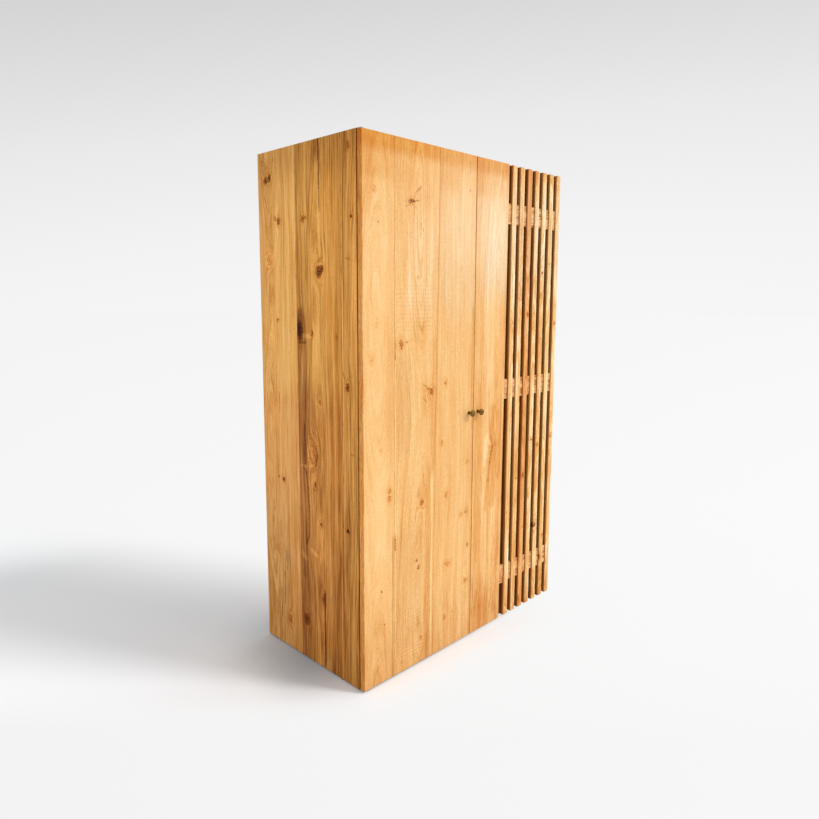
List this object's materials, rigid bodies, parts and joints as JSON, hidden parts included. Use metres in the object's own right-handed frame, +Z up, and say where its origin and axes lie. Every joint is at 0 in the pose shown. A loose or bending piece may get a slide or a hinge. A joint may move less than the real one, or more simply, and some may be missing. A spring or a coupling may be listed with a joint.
{
  "type": "louvred door cabinet",
  "caption": "Tall two-door wooden cupboard with a plain board door, a door of open upright slats on cross rails, shelves and a hanging rail inside.",
  "frame": {"origin": "centre of the footprint at floor level, with the knobs counted in the depth", "axes": "+X to the right seen from the front, +Y to the back, +Z up"},
  "size_m": [1.2, 0.649, 2],
  "materials": {
    "door_wood": "satin clear finish",
    "slat_wood": "satin clear finish",
    "carcass_wood": "satin clear finish",
    "cross_rail_wood": "thin clear finish, rough sawn",
    "interior_wood": "thin clear finish",
    "antique_brass": "aged, dark",
    "bright_brass": "satin",
    "hardware_steel": "zinc plated",
    "catch_plastic": "matte brown",
    "glide_plastic": "matte dark"
  },
  "bodies": {
    "carcass": {"back_board_1": "interior_wood", "back_board_2": "interior_wood", "back_board_3": "interior_wood", "back_board_4": "interior_wood", "back_board_5": "interior_wood", "back_board_screws": "hardware_steel", "base_board_front": "carcass_wood", "base_board_rear": "carcass_wood", "centre_partition": "interior_wood", "floor_glides": "glide_plastic", "hanging_rail": "bright_brass", "hanging_rail_sockets": "bright_brass", "hardware_screws": "hardware_steel", "hat_shelf": "interior_wood", "left_lower_pivot_plate": "hardware_steel", "left_magnet_catch": "catch_plastic", "left_shelf_1": "interior_wood", "left_shelf_2": "interior_wood", "left_shelf_3": "interior_wood", "left_shelf_4": "interior_wood", "left_side_board_front": "carcass_wood", "left_side_board_middle": "carcass_wood", "left_side_board_rear": "carcass_wood", "left_upper_pivot_plate": "hardware_steel", "right_lower_pivot_plate": "hardware_steel", "right_magnet_catch": "catch_plastic", "right_side_board_front": "carcass_wood", "right_side_board_middle": "carcass_wood", "right_side_board_rear": "carcass_wood", "right_upper_pivot_plate": "hardware_steel", "shelf_pins": "bright_brass", "top_board_front": "carcass_wood", "top_board_rear": "carcass_wood"},
    "left_door": {"left_door_board_inner": "door_wood", "left_door_board_middle": "door_wood", "left_door_board_outer": "door_wood", "left_door_ledge_lower": "cross_rail_wood", "left_door_ledge_middle": "cross_rail_wood", "left_door_ledge_screws": "hardware_steel", "left_door_ledge_upper": "cross_rail_wood", "left_knob": "antique_brass", "left_knob_screw": "hardware_steel", "left_pivot_bushes": "bright_brass", "left_strike_plate": "hardware_steel"},
    "right_door": {"lattice_rail_lower": "cross_rail_wood", "lattice_rail_middle": "cross_rail_wood", "lattice_rail_upper": "cross_rail_wood", "right_door_board": "door_wood", "right_door_slat_1": "slat_wood", "right_door_slat_2": "slat_wood", "right_door_slat_3": "slat_wood", "right_door_slat_4": "slat_wood", "right_door_slat_5": "slat_wood", "right_door_slat_6": "slat_wood", "right_door_slat_7": "slat_wood", "right_knob": "antique_brass", "right_knob_screw": "hardware_steel", "right_pivot_bushes": "bright_brass", "right_strike_plate": "hardware_steel"}
  },
  "joints": [
    {"name": "left_door_hinge", "type": "hinge", "parent": "carcass", "child": "left_door", "pos_m": [-0.591, -0.2895, 0], "axis": [0, 0, -1], "range_deg": [0, 175]},
    {"name": "right_door_hinge", "type": "hinge", "parent": "carcass", "child": "right_door", "pos_m": [0.591, -0.2895, 0], "axis": [0, 0, 1], "range_deg": [0, 175]}
  ]
}
